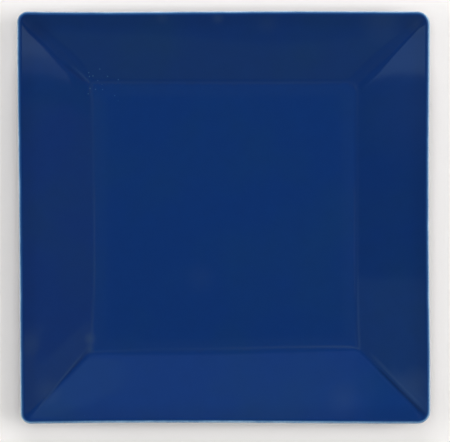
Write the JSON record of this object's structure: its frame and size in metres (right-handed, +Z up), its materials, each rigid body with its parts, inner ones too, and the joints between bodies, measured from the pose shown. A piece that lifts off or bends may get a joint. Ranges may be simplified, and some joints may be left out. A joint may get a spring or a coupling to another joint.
{
  "type": "square dinner plate",
  "caption": "Square stoneware dinner plate in glossy cobalt glaze: a flat square well, four flat sloping rim panels with mitred corners, a rounded pale lip and a bare foot ring.",
  "frame": {"origin": "centre of the foot ring's face, on the surface that the plate stands on", "axes": "+Z up out of the well, X and Y square to the four sides"},
  "size_m": [0.267, 0.267, 0.026],
  "materials": {
    "bare_clay": "matt",
    "cobalt_glaze": "gloss",
    "thin_edge_glaze": "gloss"
  },
  "bodies": {
    "root": {"clay_body": "bare_clay", "foot_ring": "bare_clay", "face_glaze": "cobalt_glaze", "lip_glaze": "thin_edge_glaze", "back_glaze": "cobalt_glaze", "base_glaze": "cobalt_glaze"}
  },
  "joints": []
}
